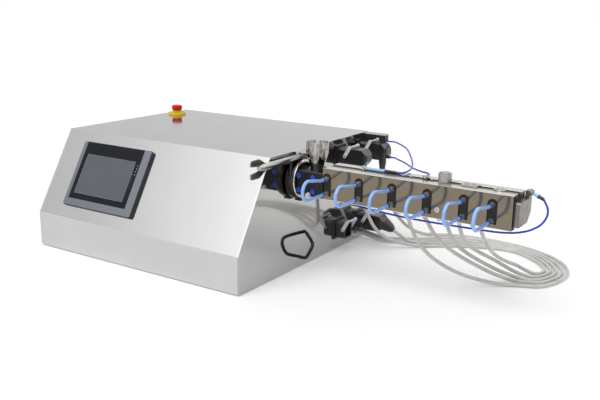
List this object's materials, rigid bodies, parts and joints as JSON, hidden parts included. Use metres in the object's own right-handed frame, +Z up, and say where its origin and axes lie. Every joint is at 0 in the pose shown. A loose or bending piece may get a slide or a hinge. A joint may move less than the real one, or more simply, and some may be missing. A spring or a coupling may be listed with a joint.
{
  "type": "twin-screw extruder",
  "caption": "Bench-top twin-screw micro extruder: sheet-steel drive housing with operator panel, clamped barrel with cooling loops, hopper and hoses.",
  "frame": {"origin": "under the middle of the machine's box, on the surface that the feet stand on; hoses and cables left out", "axes": "+X along the barrel from the housing to the die, +Y from the operator to the back, +Z up"},
  "size_m": [1.127, 0.6569, 0.293],
  "materials": {
    "housing_steel": "satin",
    "side_steel": "polished",
    "foot_rubber": "matt",
    "panel_aluminium": "satin",
    "panel_glass": "gloss",
    "display_grey": "semi gloss",
    "yellow_plastic": "gloss",
    "red_plastic": "gloss",
    "black_plastic": "matt",
    "machine_grey": "satin",
    "shaft_steel": "ground",
    "clamp_steel": "burnished",
    "black_anodised": "satin",
    "blue_plastic": "gloss",
    "hopper_steel": "brushed",
    "cover_steel": "polished",
    "nickel": "polished",
    "light_blue_plastic": "semi gloss",
    "white_plastic": "semi gloss",
    "hose_grey": "satin",
    "cable_blue": "satin"
  },
  "bodies": {
    "base": {"base_plate": "housing_steel", "housing_shell": "housing_steel", "left_panel": "housing_steel", "rear_panel": "housing_steel", "right_panel": "side_steel", "rubber_feet": "foot_rubber", "panel_frame": "panel_aluminium", "panel_glass": "panel_glass", "panel_display": "display_grey", "stop_collar": "yellow_plastic", "mains_inlet": "black_plastic", "connector_bases": "black_plastic", "connector_hoods": "black_plastic", "sensor_plug": "black_plastic", "cable_hook": "black_plastic", "end_insulator": "black_plastic", "drive_frame": "machine_grey", "motor": "machine_grey", "gearbox_housing": "machine_grey", "controller": "machine_grey", "lantern_flange": "clamp_steel", "clamp_rear": "clamp_steel", "clamp_front": "clamp_steel", "barrel_core": "clamp_steel", "feed_block": "black_anodised", "cooling_blocks": "black_anodised", "feed_plugs": "blue_plastic", "barrel_plugs": "hopper_steel", "sensor_bosses": "hopper_steel", "die_plate": "hopper_steel", "cover_front": "cover_steel", "cover_rear": "cover_steel", "push_fittings": "nickel", "cooling_loops": "light_blue_plastic", "probe_sleeves": "light_blue_plastic", "hose_fittings": "white_plastic", "hose_1": "hose_grey", "hose_2": "hose_grey", "hose_3": "hose_grey", "hose_4": "hose_grey", "hose_5": "hose_grey", "cable_1": "cable_blue", "cable_2": "cable_blue", "cable_3": "cable_blue"},
    "rotor": {"motor_rotor": "shaft_steel"},
    "torque": {"torque_shaft": "shaft_steel"},
    "screw_a": {"output_shaft_a": "shaft_steel", "screw_a": "shaft_steel"},
    "screw_b": {"output_shaft_b": "shaft_steel", "screw_b": "shaft_steel"},
    "stop_push": {"stop_stem": "black_plastic"},
    "stop_turn": {"stop_cap": "red_plastic"},
    "bolt": {"swing_bolt": "clamp_steel"},
    "nut": {"wing_nut": "clamp_steel"},
    "hopper": {"hopper": "hopper_steel"},
    "lever_1": {"lever_1": "hopper_steel"},
    "lever_2": {"lever_2": "hopper_steel"},
    "lever_3": {"lever_3": "hopper_steel"},
    "lever_4": {"lever_4": "hopper_steel"},
    "switch": {"main_switch": "black_plastic"}
  },
  "joints": [
    {"name": "motor_spin", "type": "hinge", "parent": "base", "child": "rotor", "pos_m": [-0.0275, -0.0735, 0.19396], "axis": [1, 0, 0], "continuous": true},
    {"name": "torque_spin", "type": "hinge", "parent": "base", "child": "torque", "pos_m": [-0.0275, -0.0735, 0.19396], "axis": [1, 0, 0], "continuous": true},
    {"name": "screw_a_spin", "type": "hinge", "parent": "base", "child": "screw_a", "pos_m": [0.0325, -0.0785, 0.21], "axis": [1, 0, 0], "continuous": true},
    {"name": "screw_b_spin", "type": "hinge", "parent": "base", "child": "screw_b", "pos_m": [0.0325, -0.0685, 0.21], "axis": [1, 0, 0], "continuous": true},
    {"name": "stop_press", "type": "slide", "parent": "base", "child": "stop_push", "axis": [0, 0, -1], "range_m": [0, 0.004]},
    {"name": "stop_twist", "type": "hinge", "parent": "stop_push", "child": "stop_turn", "pos_m": [-0.5165, 0.1715, 0.284], "axis": [0, 0, 1], "range_deg": [0, 30], "stiffness_Nm_per_rad": 0.03},
    {"name": "bolt_swing", "type": "hinge", "parent": "base", "child": "bolt", "pos_m": [0.0465, -0.0655, 0.256], "axis": [-1, 0, 0], "range_deg": [0, 100]},
    {"name": "nut_spin", "type": "hinge", "parent": "bolt", "child": "nut", "pos_m": [0.0465, -0.1235, 0.256], "axis": [0, -1, 0], "continuous": true},
    {"name": "hopper_lift", "type": "slide", "parent": "base", "child": "hopper", "axis": [0, 0, 1], "range_m": [0, 0.06]},
    {"name": "lever_1_open", "type": "hinge", "parent": "base", "child": "lever_1", "pos_m": [0.0567, 0.1165, 0.0536], "axis": [0, -1, 0], "range_deg": [0, 50]},
    {"name": "lever_2_open", "type": "hinge", "parent": "base", "child": "lever_2", "pos_m": [0.0567, 0.2145, 0.0536], "axis": [0, -1, 0], "range_deg": [0, 50]},
    {"name": "lever_3_open", "type": "hinge", "parent": "base", "child": "lever_3", "pos_m": [0.0567, 0.1165, 0.2306], "axis": [0, -1, 0], "range_deg": [0, 50]},
    {"name": "lever_4_open", "type": "hinge", "parent": "base", "child": "lever_4", "pos_m": [0.0567, 0.2145, 0.2306], "axis": [0, -1, 0], "range_deg": [0, 50]},
    {"name": "switch_turn", "type": "hinge", "parent": "base", "child": "switch", "pos_m": [-0.0575, 0.2535, 0.113], "axis": [0, 1, 0], "range_deg": [0, 90]}
  ],
  "couplings": [
    {"joint": "torque_spin", "follows": "motor_spin", "ratio": 1},
    {"joint": "screw_a_spin", "follows": "motor_spin", "ratio": -2},
    {"joint": "screw_b_spin", "follows": "motor_spin", "ratio": -2}
  ]
}
